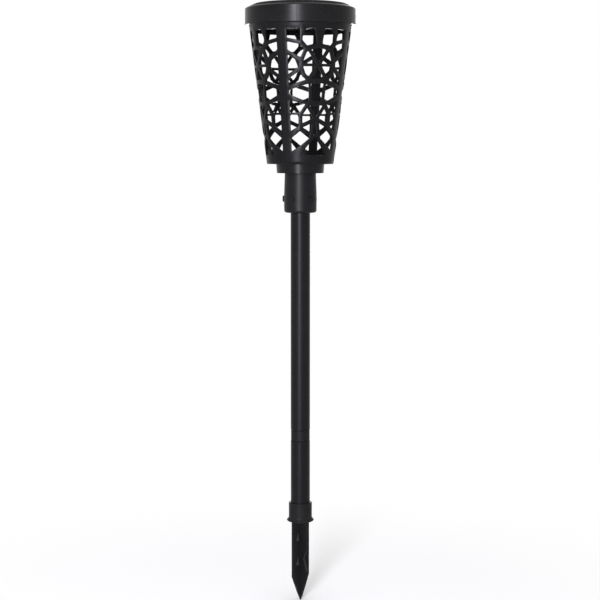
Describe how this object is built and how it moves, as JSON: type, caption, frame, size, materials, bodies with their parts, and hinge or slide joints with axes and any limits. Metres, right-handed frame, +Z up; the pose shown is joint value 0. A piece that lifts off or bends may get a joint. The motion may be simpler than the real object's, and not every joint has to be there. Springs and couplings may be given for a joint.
{
  "type": "solar garden torch",
  "caption": "Dark grey solar garden torch: openwork basket under a round solar cap, on a plug-together pole with a ground spike.",
  "frame": {"origin": "centre of the underside of the spike's flange, at ground level", "axes": "+Z up the pole, -Y towards the front of the object, +X to its right seen from the front"},
  "size_m": [0.1174, 0.1174, 0.6486],
  "materials": {
    "grey_plastic": "satin",
    "pole": "satin",
    "spike_plastic": "matt",
    "coupler_plastic": "satin",
    "tray_plastic": "satin",
    "window": "clear, glossy",
    "cells": "dark blue cells",
    "pad": "adhesive foam",
    "screw_steel": "zinc plated",
    "contact_metal": "nickel plated",
    "cell_label": "printed sleeve, plain",
    "board": "solder mask",
    "led_lens": "clear epoxy",
    "chip_black": "moulded",
    "wire_red": "sleeve",
    "wire_black": "sleeve"
  },
  "bodies": {
    "stake": {"spike": "spike_plastic"},
    "lower_pole": {"lower_tube": "pole", "tube_coupler": "coupler_plastic"},
    "upper_pole": {"upper_tube": "pole"},
    "head": {"neck": "grey_plastic", "basket": "grey_plastic", "neck_screws": "screw_steel"},
    "cap": {"cap_shell": "grey_plastic", "panel_pad": "pad", "solar_panel": "cells", "panel_window": "window", "light_tray": "tray_plastic", "tray_screws": "screw_steel", "battery_door": "tray_plastic", "door_screw": "screw_steel", "battery": "cell_label", "contact_plus": "contact_metal", "contact_minus": "contact_metal", "contact_spring": "contact_metal", "circuit_board": "board", "led": "led_lens", "driver_chip": "chip_black", "coil": "chip_black", "switch_body": "chip_black", "panel_wire_red": "wire_red", "panel_wire_black": "wire_black", "battery_wire_red": "wire_red", "battery_wire_black": "wire_black"},
    "switch": {"switch_knob": "coupler_plastic"}
  },
  "joints": [
    {"name": "spike_socket", "type": "slide", "parent": "stake", "child": "lower_pole", "axis": [0, 0, 1], "range_m": [0, 0.03]},
    {"name": "tube_plug", "type": "slide", "parent": "lower_pole", "child": "upper_pole", "axis": [0, 0, 1], "range_m": [0, 0.04]},
    {"name": "neck_socket", "type": "slide", "parent": "upper_pole", "child": "head", "axis": [0, 0, 1], "range_m": [0, 0.05]},
    {"name": "cap_lift", "type": "slide", "parent": "head", "child": "cap", "axis": [0, 0, 1], "range_m": [0, 0.06]},
    {"name": "light_switch", "type": "slide", "parent": "cap", "child": "switch", "axis": [1, 0, 0], "range_m": [0, 0.0026]}
  ]
}
